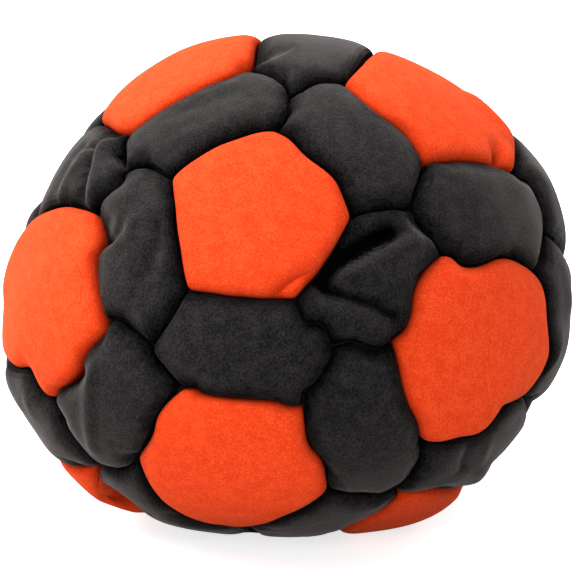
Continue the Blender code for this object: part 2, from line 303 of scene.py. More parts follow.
def named_junctions(plan, names):
    """Each face with its own orange panel, if it has one, and the names it is known by."""
    known = {}
    for face in plan.faces:
        own = [names[vert] for vert in face.verts if is_orange(vert)]
        around = {names[edge.other_vert(vert)] for vert in face.verts if not is_orange(vert)
                  for edge in vert.link_edges if is_orange(edge.other_vert(vert))}
        known[face] = tuple(own + sorted(around - set(own)))
    return known


def junction_places(plan, names):
    """Every junction as a unit vector: those seen where they are, the rest drawn along."""
    even, places = {}, {}
    for face, key in named_junctions(plan, names).items():
        own = [vert.co for vert in face.verts if is_orange(vert)]
        others = [vert.co for vert in face.verts if not is_orange(vert)]
        middle = sum(others, Vector()) / len(others)
        even[face] = (own[0].lerp(middle, CORNER_SHARE) if own else middle).normalized()
        pixels = SEEN_CORNERS if own else SEEN_JUNCTIONS
        hidden = HIDDEN_CORNERS if own else HIDDEN_JUNCTIONS
        if key in pixels:
            places[face] = seen_on_unit_ball(pixels[key])
        elif key in hidden:
            places[face] = on_unit_ball(*hidden[key])
    shifts = {face: place - even[face] for face, place in places.items()}
    for face in plan.faces:
        if face not in places:
            pulls = {other: 2 ** -((even[face].angle(even[other]) / DRAW_REACH) ** 2)
                     for other in shifts}
            shift = sum((pull * shifts[other] for other, pull in pulls.items()), Vector())
            drawn = even[face] + shift / (DRAW_FLOOR_SHARE + sum(pulls.values()))
            places[face] = drawn.normalized()
    return places


layout = turned_layout()
panel_name = panel_names(layout)
junctions = junction_places(layout, panel_name)
print("panels:", len(panel_name), "seam junctions:", len(junctions))

# %% [markdown]
# The seams
#
# A hand-sewn seam isn't an arc: it bows where a panel was cut full and wobbles with the
# stitches. Each seam that the photograph shows gets the few pixels that its line needs, and
# a smooth curve runs through them. The seams that can't be seen get a slight bow of their
# own from a fixed noise field, so that the back is as hand-made as the front.

# %% Pixels along the seams, between their two junctions
# A seam is known by the orange panel that both its panels touch, and the others they touch
SEEN_SEAMS = {
    ("centre", "upper_left"): [(192, 163), (220, 147), (252, 135)],
    ("centre", "upper_right"): [(293, 142), (308, 158), (334, 180), (345, 205)],
    ("centre", "right"): [(339, 239), (323, 266)],
    ("centre", "low"): [(248, 298)],
    ("centre", "left"): [(184, 262), (177, 212)],
    ("upper_left", "centre"): [(153, 116), (189, 95), (215, 83), (235, 73)],
    ("upper_left", "left"): [(114, 129)],
    ("upper_left", "upper_right"): [(254, 56)],
    ("upper_right", "upper_left"): [(351, 73), (360, 63)],
    ("upper_right", "centre"): [(359, 97), (378, 116), (402, 132), (415, 148)],
    ("upper_right", "right"): [(451, 161), (481, 163)],
    ("right", "upper_right"): [(450, 256), (458, 263), (468, 266), (481, 264), (494, 258),
                               (508, 257), (521, 262)],
    ("right", "centre"): [(425, 268), (412, 287), (409, 300), (408, 313), (403, 328)],
    ("right", "back_right"): [(543, 282), (547, 300), (547, 320), (550, 345), (549, 356),
                              (541, 374), (533, 386)],
    ("right", "low"): [(394, 358), (398, 377), (405, 402), (416, 421)],
    ("right", "bottom_right"): [(438, 441), (456, 436), (474, 432), (489, 422), (503, 409)],
    ("low", "centre"): [(197, 387), (206, 392), (240, 395), (273, 398), (288, 403)],
    ("low", "right"): [(305, 420), (309, 441), (321, 456), (326, 472)],
    ("low", "left"): [(170, 399), (160, 412), (154, 430), (147, 444)],
    ("low", "bottom_left"): [(152, 487), (167, 503), (187, 517), (213, 525)],
    ("low", "bottom_right"): [(267, 523), (287, 513), (310, 502)],
    ("left", "centre"): [(103, 228), (104, 244), (99, 254), (98, 270), (101, 292)],
    ("left", "low"): [(107, 331), (94, 345), (85, 358), (81, 372), (68, 384), (57, 391)],
    ("left", "bottom_left"): [(41, 392), (34, 378), (27, 368), (17, 367)],
    ("left", "upper_left"): [(88, 209), (71, 205), (50, 208)],
    ("bottom_left", "left"): [(85, 471)],
    ("bottom_left", "low"): [(102, 490), (117, 502)],
    ("bottom_right", "right"): [(427, 492), (450, 489), (468, 485)],
    ("bottom_right", "low"): [(390, 507), (371, 518), (351, 527)],
    ("right", "back_right", "bottom_right"): [(532, 400)],
    ("right", "back_right", "upper_right"): [(547, 244), (542, 261)],
    ("back_right", "right", "upper_right"): [(557, 235)],
    ("right", "bottom_right", "low"): [(421, 456), (414, 470), (405, 481)],
    ("low", "bottom_right", "right"): [(381, 494), (364, 494), (345, 493)],
    ("left", "bottom_left", "low"): [(58, 410), (65, 427), (78, 446), (90, 459)],
    ("low", "bottom_left", "left"): [(110, 469), (124, 470), (133, 466)],
    ("left", "centre", "low"): [(119, 319), (131, 326), (144, 336)],
    ("low", "centre", "left"): [(158, 356), (168, 369)],
    ("centre", "left", "low"): [(178, 308), (166, 327)],
    ("centre", "low", "right"): [(300, 311), (307, 321), (319, 322), (326, 331)],
    ("low", "centre", "right"): [(330, 357), (318, 377), (305, 391)],
    ("right", "centre", "low"): [(349, 341), (360, 344), (376, 348)],
    ("right", "centre", "upper_right"): [(421, 226), (432, 241)],
    ("centre", "right", "upper_right"): [(364, 213), (385, 209), (400, 210)],
    ("upper_right", "centre", "right"): [(418, 182), (412, 199)],
    ("upper_left", "centre", "upper_right"): [(262, 70), (278, 77), (287, 87)],
    ("upper_right", "centre", "upper_left"): [(300, 90), (312, 83), (326, 81)],
    ("centre", "upper_left", "upper_right"): [(289, 110), (283, 123)],
    ("centre", "left", "upper_left"): [(132, 168), (147, 165), (158, 171)],
    ("upper_left", "centre", "left"): [(123, 143), (124, 158)],
    ("left", "centre", "upper_left"): [(121, 183), (111, 191), (101, 200)],
    ("upper_right", "back_right", "right"): [(531, 177), (541, 192), (548, 214)],
    ("upper_right", "back_right"): [(519, 154), (518, 144)],
}

# %% Run a smooth curve through each seam's points
# A panel is cut into quarters, one at each corner, each with this many steps a side
QUARTER_STEPS = 13
# Steps grow finer towards the seams, where the suede turns in most sharply
STEP_POWER = 1.2
# Pieces of the curve between two of its points, before it is measured
CURVE_PIECES = 12
HIDDEN_BOW = 0.0009
HIDDEN_BOW_SCALE = 90.0
STITCH_WOBBLE = 0.00010
STITCH_WOBBLE_SCALE = 420.0
# One noise field gives all three directions, each from a place of its own in it
NOISE_PLACES = (Vector((0, 0, 0)), Vector((31.4, 0, 0)), Vector((0, 47.2, 0)))
STEP_SHARES = 1 - (1 - np.arange(QUARTER_STEPS + 1) / QUARTER_STEPS) ** STEP_POWER
SEAM_SHARES = np.concatenate(((1 - STEP_SHARES[::-1]) / 2, (1 + STEP_SHARES[1:]) / 2))


def normalised(rows):
    """The rows at length 1."""
    return rows / np.linalg.norm(rows, axis=1, keepdims=True)


def pushed(place):
    """A smooth push at a place, the same in every run."""
    return Vector([noise.noise(place + shift) for shift in NOISE_PLACES])


def smooth_through(points, shares):
    """Places along a Catmull-Rom curve through the points, at shares of its length."""
    padded = np.vstack((2 * points[0] - points[1], points, 2 * points[-1] - points[-2]))
    fine = []
    for before, start, end, after in zip(padded, padded[1:], padded[2:], padded[3:]):
        for t in np.linspace(0, 1, CURVE_PIECES, endpoint=False):
            fine.append(0.5 * (2 * start + (end - before) * t
                               + (2 * before - 5 * start + 4 * end - after) * t ** 2
                               + (3 * start - before - 3 * end + after) * t ** 3))
    fine = np.array(fine + [points[-1]])
    length = np.concatenate(([0], np.cumsum(np.linalg.norm(np.diff(fine, axis=0), axis=1))))
    return np.column_stack([np.interp(shares * length[-1], length, fine[:, i]) for i in range(3)])


def seam_curve(edge):
    """The seam between two panels as unit vectors, from its first face's junction."""
    ends = [junctions[face] for face in edge.link_faces]
    first, second = (set(panel_name[vert].split("_to_")) for vert in edge.verts)
    pixels = SEEN_SEAMS.get((*(first & second), *sorted(first ^ second)))
    if pixels:
        between = [seen_on_unit_ball(pixel) for pixel in pixels]
        if between[0].angle(ends[0]) > between[-1].angle(ends[0]):
            between.reverse()
    else:
        middle = (ends[0] + ends[1]).normalized()
        bow = pushed(middle * (HALF_WIDTH * HIDDEN_BOW_SCALE))
        between = [(middle + bow * (HIDDEN_BOW / HALF_WIDTH)).normalized()]
    curve = smooth_through(np.array([ends[0], *between, ends[1]]), SEAM_SHARES)
    ease = np.sin(np.pi * SEAM_SHARES)
    wobble = np.array([pushed(Vector(point) * (HALF_WIDTH * STITCH_WOBBLE_SCALE))
                       for point in curve])
    return normalised(curve + wobble * ease[:, None] * (STITCH_WOBBLE / HALF_WIDTH))


seam_curves = {edge: seam_curve(edge) for edge in layout.edges}


def panel_seams(vert):
    """A panel's seams one after another, anticlockwise as seen from outside."""
    seams = []
    loop = vert.link_loops[0]
    for _ in vert.link_loops:
        edge = loop.link_loop_prev.edge
        curve = seam_curves[edge]
        seams.append(curve if edge.link_faces[0] == loop.face else curve[::-1])
        loop = loop.link_loop_prev.link_loop_radial_next
    return seams


print("seams:", len(seam_curves), "of", len(SEAM_SHARES), "points each")

# %% [markdown]
# One skin of all the panels
#
# Cloth has to be simulated as it is sewn: two panels that share a seam pull on the same
# stitches. So all forty-two panels start as one closed mesh. Each panel's quarter is a patch
# of quads between two half seams, and a crown function swells it from its seams.

# %% Make the grid of every panel, merged at the seams
# A crown falls away over this width beside a seam, along a rounded square's corner. The
# orange panels were cut a little fuller, so their edges are tighter
CROWN_EDGES = {"orange": 0.0017, "charcoal": 0.0026}
CROWN_SQUARENESS = 2.1
CORNER_ROUNDING = 4.0
# The skin starts this much lower than it ends, and the sand's pressure makes up for it
START_DROP = 0.00046
# Points in the same step of the unit ball, with this many steps to a unit, are one point
MERGE_STEPS = 1e5


def quarter(before, after, middle):
    """A corner's patch of unit vectors, between the halves of the two seams that meet there."""
    half = QUARTER_STEPS
    first, second = after[half::-1], before[half:]
    share = STEP_SHARES[:, None]
    to_first = middle + share * (first[0] - middle)
    to_second = middle + share * (second[0] - middle)
    u, v = STEP_SHARES[:, None, None], STEP_SHARES[None, :, None]
    patch = ((1 - v) * to_first[:, None] + v * second[:, None]
             + (1 - u) * to_second[None, :] + u * first[None, :]
             - (1 - u) * (1 - v) * middle - u * (1 - v) * first[0]
             - (1 - u) * v * second[0] - u * v * first[-1])
    return patch / np.linalg.norm(patch, axis=2, keepdims=True)


def crown_heights(units, seams, edge):
    """Heights of a panel's points: level in its middle, and falling steeply at its seams."""
    reach = [np.linalg.norm(units[:, None] - seam[None], axis=2).min(axis=1) for seam in seams]
    reach = np.maximum(np.array(reach) * HALF_WIDTH, TINY)
    distance = (reach ** -CORNER_ROUNDING).sum(axis=0) ** (-1 / CORNER_ROUNDING)
    short = 1 - np.clip(distance / edge, 0, 1)
    crown = (1 - short ** CROWN_SQUARENESS) ** (1 / CROWN_SQUARENESS)
    return -SUEDE_THICKNESS / 2 - START_DROP - (SEAM_DEPTH - START_DROP) * (1 - crown)


def sewn_skin():
    """All panels as one grid: unit vectors, heights, quads and each quad's panel."""
    index_at, units, heights, quads, owners = {}, [], [], [], []
    for owner, vert in enumerate(layout.verts):
        seams = panel_seams(vert)
        edge = CROWN_EDGES["orange" if is_orange(vert) else "charcoal"]
        middle = np.mean([seam[0] for seam in seams], axis=0)
        middle /= np.linalg.norm(middle)
        for before, after in zip([seams[-1], *seams[:-1]], seams):
            patch = quarter(before, after, middle)
            crown = crown_heights(patch.reshape(-1, 3), seams, edge).reshape(patch.shape[:2])
            ids = np.zeros(crown.shape, int)
            for i, j in np.ndindex(crown.shape):
                key = tuple(np.round(patch[i, j] * MERGE_STEPS).astype(int))
                if key not in index_at:
                    index_at[key] = len(units)
                    units.append(patch[i, j])
                    heights.append(crown[i, j])
                ids[i, j] = index_at[key]
            for i, j in np.ndindex(QUARTER_STEPS, QUARTER_STEPS):
                quads.append((ids[i, j], ids[i, j + 1], ids[i + 1, j + 1], ids[i + 1, j]))
                owners.append(owner)
    return np.array(units), np.array(heights), np.array(quads), np.array(owners)


skin_units, skin_heights, skin_quads, skin_owners = sewn_skin()
skin_start = on_ball(skin_units, skin_heights)
print("skin:", len(skin_start), "points,", len(skin_quads), "quads")

# %% [markdown]
# Stuff the ball
#
# Sand presses the suede outwards while the stitches hold it in. A cloth simulation gives
# that: the seams are pinned, a pressure inside pushes, and the suede is a little larger than
# its place, so it swells into crowns and puckers along the stitches. Cloth settings suit
# things a metre wide, so a copy many times as large is simulated and then made small again.

# %% Simulate the skin under pressure
CLOTH_SCALE = 20.0
CLOTH_FRAMES = 20
CLOTH_QUALITY = 6
CLOTH_MASS = 0.3
CLOTH_STIFFNESS = 30
CLOTH_SHEAR_STIFFNESS = 15
CLOTH_BENDING_STIFFNESS = 2.0
CLOTH_PRESSURE = 4.0
CLOTH_SLACK = 0.03
MOST_SWELL = 0.0010
# A point this deep, as a share of a seam's depth, lies in the stitches
STITCHED_SHARE = 0.999


def stuffed(points, quads, pinned):
    """Where the skin's points lie once it is stuffed, each moved at most MOST_SWELL."""
    data = bpy.data.meshes.new("skin_in_simulation")
    data.from_pydata((points * CLOTH_SCALE).tolist(), [], quads.tolist())
    skin = new_object("skin_in_simulation", data)
    held = skin.vertex_groups.new(name="seams")
    held.add(pinned.tolist(), 1.0, "REPLACE")
    cloth = skin.modifiers.new("cloth", "CLOTH")
    settings = cloth.settings
    settings.quality = CLOTH_QUALITY
    settings.mass = CLOTH_MASS
    settings.tension_stiffness = settings.compression_stiffness = CLOTH_STIFFNESS
    settings.shear_stiffness = CLOTH_SHEAR_STIFFNESS
    settings.bending_stiffness = CLOTH_BENDING_STIFFNESS
    settings.vertex_group_mass = "seams"
    settings.use_pressure = True
    settings.uniform_pressure_force = CLOTH_PRESSURE
    settings.shrink_min = settings.shrink_max = -CLOTH_SLACK
    settings.effector_weights.gravity = 0
    cloth.collision_settings.use_collision = False
    cloth.point_cache.frame_end = CLOTH_FRAMES
    for step in range(1, CLOTH_FRAMES + 1):
        bpy.context.scene.frame_set(step)
    shaped = skin.evaluated_get(bpy.context.evaluated_depsgraph_get()).data
    moved = np.zeros(len(points) * 3)
    shaped.vertices.foreach_get("co", moved)
    bpy.context.scene.frame_set(1)
    bpy.data.objects.remove(skin)
    swell = moved.reshape(-1, 3) / CLOTH_SCALE - points
    reach = np.linalg.norm(swell, axis=1, keepdims=True)
    print("swell, mm: most", round(reach.max() * 1000, 2), "mean", round(reach.mean() * 1000, 2))
    return points + swell * np.minimum(1, MOST_SWELL / np.maximum(reach, TINY))


seam_ids = np.flatnonzero(skin_heights < -SUEDE_THICKNESS / 2 - SEAM_DEPTH * STITCHED_SHARE)
# 0 at the stitches and 1 where the suede is free of them
skin_free = np.clip((skin_heights + SUEDE_THICKNESS / 2 + SEAM_DEPTH)
                    / (SEAM_DEPTH - START_DROP), 0, 1)
skin_points = stuffed(skin_start, skin_quads, seam_ids)

# %% [markdown]
# Folds and puckers
#
# Panels cut by hand never fit exactly, so the spare suede lies in folds, most of all on the
# charcoal ones. Each fold that the photograph shows is a line of pixels with a height, above
# or below the crown, and a width. The back gets folds of its own from a fixed random seed.

# %% Folds seen in the photograph: panel, height in mm, half width in pixels, and its line
SEEN_FOLDS = [
    ("centre", -0.80, 5.5, [(258, 300), (272, 291), (284, 281), (297, 272), (310, 268),
                            (324, 266)]),
    ("centre", 0.30, 7, [(291, 291), (302, 281), (309, 275)]),
    ("upper_right", -1.30, 9, [(498, 150), (500, 158), (503, 168)]),
    ("upper_right", 0.35, 6, [(508, 148), (510, 160)]),
    ("upper_right", 0.55, 14, [(474, 100), (490, 115), (503, 130)]),
    ("upper_left", -0.50, 4, [(203, 87), (214, 83), (226, 79)]),
    ("upper_left", -0.50, 4, [(240, 68), (250, 59)]),
    ("centre_to_right", -1.60, 13, [(322, 274), (345, 257), (368, 243), (390, 233)]),
    ("centre_to_right", 0.40, 9, [(345, 275), (368, 263), (396, 250), (424, 238)]),
    ("centre_to_right", -0.80, 8, [(328, 291), (352, 296), (374, 303), (394, 314)]),
    ("centre_to_right", -0.60, 7, [(337, 335), (352, 338), (372, 342)]),
    ("centre_to_right", -0.60, 6, [(412, 218), (424, 236)]),
    ("centre_to_upper_right", -0.80, 8, [(362, 206), (385, 203), (404, 201)]),
    ("centre_to_right", 0.30, 7, [(304, 301), (325, 310), (350, 319), (378, 330)]),
    ("centre_to_upper_left", 0.16, 9, [(185, 137), (212, 127), (243, 113)]),
    ("centre_to_upper_left", -0.20, 12, [(180, 112), (205, 103), (228, 96)]),
    ("centre_to_left", -0.70, 6, [(104, 241), (113, 239), (122, 231)]),
    ("centre_to_left", 0.35, 5, [(107, 249), (119, 243), (130, 235), (134, 225)]),
    ("centre_to_left", -0.40, 9, [(158, 222), (156, 245), (146, 268)]),
    ("centre_to_left", 0.25, 7, [(174, 250), (166, 268), (156, 287)]),
    ("centre_to_left", 0.25, 8, [(112, 199), (122, 200)]),
    ("centre_to_left", -0.60, 7, [(180, 298), (168, 312), (156, 332)]),
    ("upper_left_to_left", -1.40, 8, [(113, 149), (120, 157)]),
    ("upper_left_to_left", -1.40, 7, [(111, 183), (119, 180)]),
    ("upper_left_to_left", 0.50, 4.5, [(106, 137), (98, 152), (94, 179), (90, 203)]),
    ("upper_left_to_left", -0.80, 5, [(94, 144), (88, 168), (80, 195)]),
    ("upper_left_to_left", 0.45, 4.5, [(97, 141), (83, 160), (71, 180), (60, 203)]),
    ("upper_left_to_left", -0.50, 5, [(84, 146), (72, 164), (58, 190)]),
    ("low_to_left", -0.85, 8, [(62, 391), (74, 385), (82, 374)]),
    ("low_to_left", 0.35, 6, [(93, 372), (90, 392), (90, 420), (93, 448)]),
    ("low_to_left", -0.40, 8, [(122, 457), (136, 460)]),
    ("left", 0.50, 17, [(21, 246), (12, 262), (8, 280)]),
    ("left_to_back_left", -0.45, 12, [(28, 214), (24, 228)]),
    ("left_to_bottom_left", 0.45, 15, [(11, 372), (16, 388), (24, 402)]),
    ("left_to_bottom_left", 0.30, 5, [(30, 398), (36, 416)]),
    ("right_to_bottom_right", 0.35, 5, [(485, 443), (479, 456), (475, 470)]),
    ("right_to_bottom_right", -0.45, 6, [(470, 440), (464, 455), (461, 466)]),
    ("right_to_bottom_right", 0.55, 12, [(475, 476), (482, 464)]),
    ("right_to_back_right", 0.35, 6, [(550, 368), (557, 352), (561, 338)]),
    ("right_to_back_right", 0.35, 15, [(562, 264), (566, 285), (567, 305)]),
    ("right_to_back_right", -0.60, 6, [(528, 398), (536, 390)]),
    ("upper_right_to_right", -0.80, 9, [(416, 208), (425, 222), (436, 236), (446, 246)]),
    ("upper_right_to_right", -0.30, 8, [(460, 206), (464, 232), (467, 258)]),
    ("right_to_low", -0.60, 8, [(346, 350), (362, 353), (380, 358)]),
]
HIDDEN_FOLDS = 26
HIDDEN_FOLD_SEED = 7
# A panel whose middle lies further back than this on the unit ball isn't seen
HIDDEN_SIDE = 0.15
HIDDEN_FOLD_LENGTH = (0.0030, 0.0065)
HIDDEN_FOLD_HEIGHT = (-0.0006, 0.0003)
HIDDEN_FOLD_HALF_WIDTH = (0.0005, 0.0009)
HIDDEN_FOLD_BEND = 0.5
HIDDEN_FOLD_POINTS = 5
# Sand settles in soft lumps: their height and their number in a metre
LUMP_HEIGHTS = {"orange": 0.00007, "charcoal": 0.00016}
LUMP_SCALE = 260.0


# %% Make the folds and lumps that each panel has
def seen_folds(name):
    """The photographed folds of a panel, as lines of unit vectors with a height and a width."""
    for owner, height, half_width, pixels in SEEN_FOLDS:
        if owner == name:
            line = np.array([seen_on_unit_ball(pixel, depth=0) for pixel in pixels])
            yield line, height / 1000, half_width * PIXEL


def hidden_folds():
    """Folds for the panels that the photograph doesn't show, from a fixed seed."""
    chance = np.random.default_rng(HIDDEN_FOLD_SEED)
    folds = {name: [] for name in panel_name.values()}
    unseen = [name for vert, name in sorted(panel_name.items(), key=lambda item: item[0].index)
              if not is_orange(vert) and vert.co.y > HIDDEN_SIDE]
    for _ in range(HIDDEN_FOLDS):
        name = unseen[chance.integers(len(unseen))]
        vert = next(vert for vert, own in panel_name.items() if own == name)
        seams = panel_seams(vert)
        seam = seams[chance.integers(len(seams))]
        start = seam[chance.integers(len(seam) // 4, 3 * len(seam) // 4)]
        middle = np.array(vert.co.normalized())
        length = chance.uniform(*HIDDEN_FOLD_LENGTH) / HALF_WIDTH
        ahead = (middle - start) / np.linalg.norm(middle - start)
        aside = np.cross(start, ahead) * chance.uniform(-HIDDEN_FOLD_BEND, HIDDEN_FOLD_BEND)
        line = normalised(np.array([start + (ahead + aside * share) * length * share
                                    for share in np.linspace(0, 1, HIDDEN_FOLD_POINTS)]))
        folds[name].append((line, chance.choice(HIDDEN_FOLD_HEIGHT),
                            chance.uniform(*HIDDEN_FOLD_HALF_WIDTH)))
    return folds


def fold_heights(units, folds):
    """How far the folds lift or lower each point: a smooth hump or valley along each line."""
    total = np.zeros(len(units))
    for line, height, half_width in folds:
        nearest = np.full(len(units), np.inf)
        for start, end in zip(line, line[1:]):
            along = end - start
            share = np.clip((units - start) @ along / (along @ along), 0, 1)
            apart = np.linalg.norm(units - start - share[:, None] * along, axis=1)
            nearest = np.minimum(nearest, apart * HALF_WIDTH)
        total += height * np.exp(-(nearest / half_width) ** 2)
    return total


def lump_heights(units, height):
    """How far the sand's soft lumps lift or lower each point."""
    places = units * (HALF_WIDTH * LUMP_SCALE)
    return height * np.array([noise.noise(Vector(place)) for place in places])


unseen_folds = hidden_folds()
print("folds seen:", len(SEEN_FOLDS), "and unseen:", sum(map(len, unseen_folds.values())))

# %% [markdown]
# Cut the skin into its panels
#
# Every panel is a piece of its own again, with the suede's thickness and its seam allowance
# turned in behind the stitches. Two full crowns would swell into each other over a seam, so
# each point is kept on its own side of every seam of its panel, half a gap away from it.
# A seam's side is the plane through a bit of its line, at the crowns and at its bottom.

# %% Keep a panel's points on their own side of its seams
MIDDLE_LIFT = np.array((0, 0, FOOT_DROP))


def seam_sides(seams):
    """For each seam, places along it at two depths and the normals into its panel."""
    sides = []
    for seam in seams:
        top = on_ball(seam, np.zeros(len(seam)))
        low = on_ball(seam, np.full(len(seam), -SEAM_DEPTH - SEAM_ALLOWANCE))
        out = (top[:-1] + top[1:] - low[:-1] - low[1:]) / 2
        ahead = (top[1:] + low[1:] - top[:-1] - low[:-1]) / 2
        sides.append(((top[:-1] + top[1:]) / 2, (low[:-1] + low[1:]) / 2,
                      normalised(np.cross(out, ahead))))
    return sides


def beside_seams(points, sides, gap):
    """The points moved, where needed, to a gap inside the nearest bit of each seam."""
    for top, low, normals in sides:
        axis = top - low
        across = points[:, None] - low[None]
        share = np.clip((across * axis).sum(axis=2) / (axis * axis).sum(axis=1), 0, 1)
        across -= share[:, :, None] * axis
        nearest = np.linalg.norm(across, axis=2).argmin(axis=1)
        apart = np.einsum("ij,ij->i", points - low[nearest], normals[nearest])
        points = points + normals[nearest] * np.maximum(gap - apart, 0)[:, None]
    return points


def point_normals(points, quads):
    """The outward normal at each point of a grid of quads."""
    a, b, c, d = (points[quads[:, i]] for i in range(4))
    faces = np.cross(c - a, d - b)
    sums = np.zeros_like(points)
    for i in range(4):
        np.add.at(sums, quads[:, i], faces)
    return normalised(sums)


def rim_edges(quads):
    """The directed edges at the rim of a grid of quads, those that no second quad shares."""
    edges = {(q[i], q[(i + 1) % 4]) for q in quads.tolist() for i in range(4)}
    return [(a, b) for a, b in sorted(edges) if (b, a) not in edges]


# %% Build the panel objects
# Folds have their full height from 1 / FOLD_FADE of the way up from the stitches
FOLD_FADE = 1.6
# Each point keeps how far it is sunk in a seam or a fold, from which the material paints shade
SEAM_SHADE_POWER = 0.75
FOLD_SHADE_DEPTHS = {"orange": 0.0020, "charcoal": 0.0014}
DEEPEST_FOLD_SHARE = 0.8
# Where a face is sunk further than each of these, it takes one more step of painted shade
SHADE_STEPS = (0.18, 0.28, 0.38, 0.50)


def panel_object(name, owner, vert, kind):
    """One closed panel: crown, lining side and the seam allowance turned in all round."""
    sides = seam_sides(panel_seams(vert))
    own = skin_quads[skin_owners == owner]
    ids, local = np.unique(own, return_inverse=True)
    quads = local.reshape(own.shape)
    half = SUEDE_THICKNESS / 2
    units = skin_units[ids]
    folds = [*seen_folds(panel_name[vert]), *unseen_folds[panel_name[vert]]]
    folded = fold_heights(units, folds)
    lift = folded + lump_heights(units, LUMP_HEIGHTS[kind])
    # Folds and lumps die out at the stitches, where the suede is held, and lie above them
    lift = lift * np.clip(skin_free[ids] * FOLD_FADE, 0, 1)
    lift = np.maximum(lift, -DEEPEST_FOLD_SHARE * SEAM_DEPTH * skin_free[ids])
    middle = skin_points[ids] + units * lift[:, None]
    middle = beside_seams(middle, sides, half + SEAM_GAP / 2)
    normals = point_normals(middle, quads)
    outer = beside_seams(middle + normals * half, sides, SEAM_GAP / 2)
    inner = beside_seams(middle - normals * half, sides, SUEDE_THICKNESS + SEAM_GAP / 2)
    rim = rim_edges(quads)
    rim_ids = sorted({a for a, _ in rim})
    # The stitches hold the outer sides of two panels together along the whole seam
    outer[rim_ids] = beside_seams(skin_points[ids[rim_ids]], sides, SEAM_GAP / 2)
    outer[:, 2] = np.maximum(outer[:, 2], 0)
    inner[:, 2] = np.maximum(inner[:, 2], half)
    drop = normalised(MIDDLE_LIFT - middle[rim_ids]) * SEAM_ALLOWANCE
    count = len(ids)
    place = {a: 2 * count + i for i, a in enumerate(rim_ids)}
    under = {a: 2 * count + len(rim_ids) + i for i, a in enumerate(rim_ids)}
    points = np.vstack((outer, inner, outer[rim_ids] + drop, inner[rim_ids] + drop))
    faces = quads.tolist() + (quads[:, ::-1] + count).tolist()
    for a, b in rim:
        faces += [(b, a, place[a], place[b]), (place[b], place[a], under[a], under[b]),
                  (under[b], under[a], a + count, b + count)]
    data = bpy.data.meshes.new(name)
    data.from_pydata(points.tolist(), [], faces)
    data.shade_smooth()
    # Painted shade: the deeper a point lies in a seam or fold, the darker it is painted, and the
    # lining and the turned-in allowance are painted darkest
    sunk = np.ones(len(points))
    sunk[:count] = np.maximum((1 - skin_free[ids]) ** SEAM_SHADE_POWER,
                              np.clip(-folded / FOLD_SHADE_DEPTHS[kind], 0, 1))
    data.attributes.new("sunk", "FLOAT", "POINT").data.foreach_set("value", sunk)
    depths = [np.mean([sunk[i] for i in face]) for face in faces]
    data.polygons.foreach_set("material_index", np.digitize(depths, SHADE_STEPS))
    piece = new_object(name, data)
    finer = piece.modifiers.new("finer", "SUBSURF")
    finer.levels = finer.render_levels = 1
    return piece


panels = {}
for owner, vert in enumerate(layout.verts):
    kind = "orange" if is_orange(vert) else "charcoal"
    node = f"{kind}_{panel_name[vert]}"
    panels[node] = panel_object("panel_" + node, owner, vert, kind)
print("panels made:", len(panels))

# %% [markdown]
# The filling
#
# The sand fills the ball up to the suede's lining side. It only shows if a seam gapes, so a
# plain ball that follows the slumped shape below the seam allowances is enough, with the
# dips of coarse sand on it. It stays clear of every panel.

# %% Make the sand filling
SAND_CLEARANCE = 0.0006
SAND_DEPTH = SEAM_DEPTH + SEAM_ALLOWANCE + SUEDE_THICKNESS + SAND_CLEARANCE
SAND_RINGS, SAND_SEGMENTS = 60, 96
SAND_RIPPLE = 0.00012
SAND_RIPPLE_SCALE = 900.0

sand_grid = bmesh.new()
bmesh.ops.create_uvsphere(sand_grid, u_segments=SAND_SEGMENTS, v_segments=SAND_RINGS, radius=1)
sand_units = np.array([vert.co.normalized() for vert in sand_grid.verts])
ripple = np.array([noise.noise(Vector(unit) * (HALF_WIDTH * SAND_RIPPLE_SCALE))
                   for unit in sand_units]) * SAND_RIPPLE
sand_points = on_ball(sand_units, ripple - SAND_DEPTH)
for vert, place in zip(sand_grid.verts, sand_points):
    vert.co = place
sand_data = bpy.data.meshes.new("filled_sand")
sand_grid.to_mesh(sand_data)
sand_data.shade_smooth()
filled_sand = new_object("filled_sand", sand_data)
print("sand filling from", round(sand_points[:, 2].min() * 1000, 2), "mm up")

# %% [markdown]
# The sewing thread
#
# One thread runs along every seam at the bottom of the valley, and small stitches wrap it to
# both panels. Stitches repeat along a path, so Geometry Nodes is the tool: it resamples the
# seam lines at the stitch length and puts a stitch at every point.

# %% Lay the seam lines that the thread follows
THREAD_SINK = 0.0001
STITCH_PITCH = 0.0011
STITCH_LENGTH = 0.0007
STITCH_SLANT = 24.0
THREAD_SIDES = 6
STITCH_SEGMENTS, STITCH_RINGS = 8, 6

thread_lines = bpy.data.curves.new("sewn_thread_lines", "CURVE")
thread_lines.dimensions = "3D"
for curve in seam_curves.values():
    places = on_ball(curve, np.full(len(curve), -SEAM_DEPTH - THREAD_SINK))
    places[:, 2] = np.maximum(places[:, 2], THREAD_WIDTH)
    spline = thread_lines.splines.new("POLY")
    spline.points.add(len(places) - 1)
    spline.points.foreach_set("co", np.column_stack((places, np.ones(len(places)))).ravel())
thread_path = new_object("sewn_thread_path", thread_lines)


# %% Colours
def linear(channel):
    """The linear value of an sRGB channel from 0 to 255."""
    channel /= 255
    return channel / 12.92 if channel <= 0.04045 else ((channel + 0.055) / 1.055) ** 2.4


def colour(code):
    """A linear colour from an sRGB hex code."""
    return tuple(linear(int(code[i:i + 2], 16)) for i in (0, 2, 4)) + (1.0,)


def fill_inputs(tree, node, values):
    """Link each named or numbered input of a node to a socket, or set its value."""
    for key, value in values.items():
        if isinstance(value, bpy.types.NodeSocket):
            tree.links.new(value, node.inputs[key])
        else:
            node.inputs[key].default_value = value


def add_node(tree, kind, values=None, **settings):
    """A node with its settings and its inputs."""
    node = tree.nodes.new(kind)
    for key, value in settings.items():
        setattr(node, key, value)
    fill_inputs(tree, node, values or {})
    return node


def new_material(name):
    """A material, its node tree and its shader."""
    material = bpy.data.materials.new(name)
    material.use_nodes = True
    tree = material.node_tree
    return material, tree, tree.nodes["Principled BSDF"]


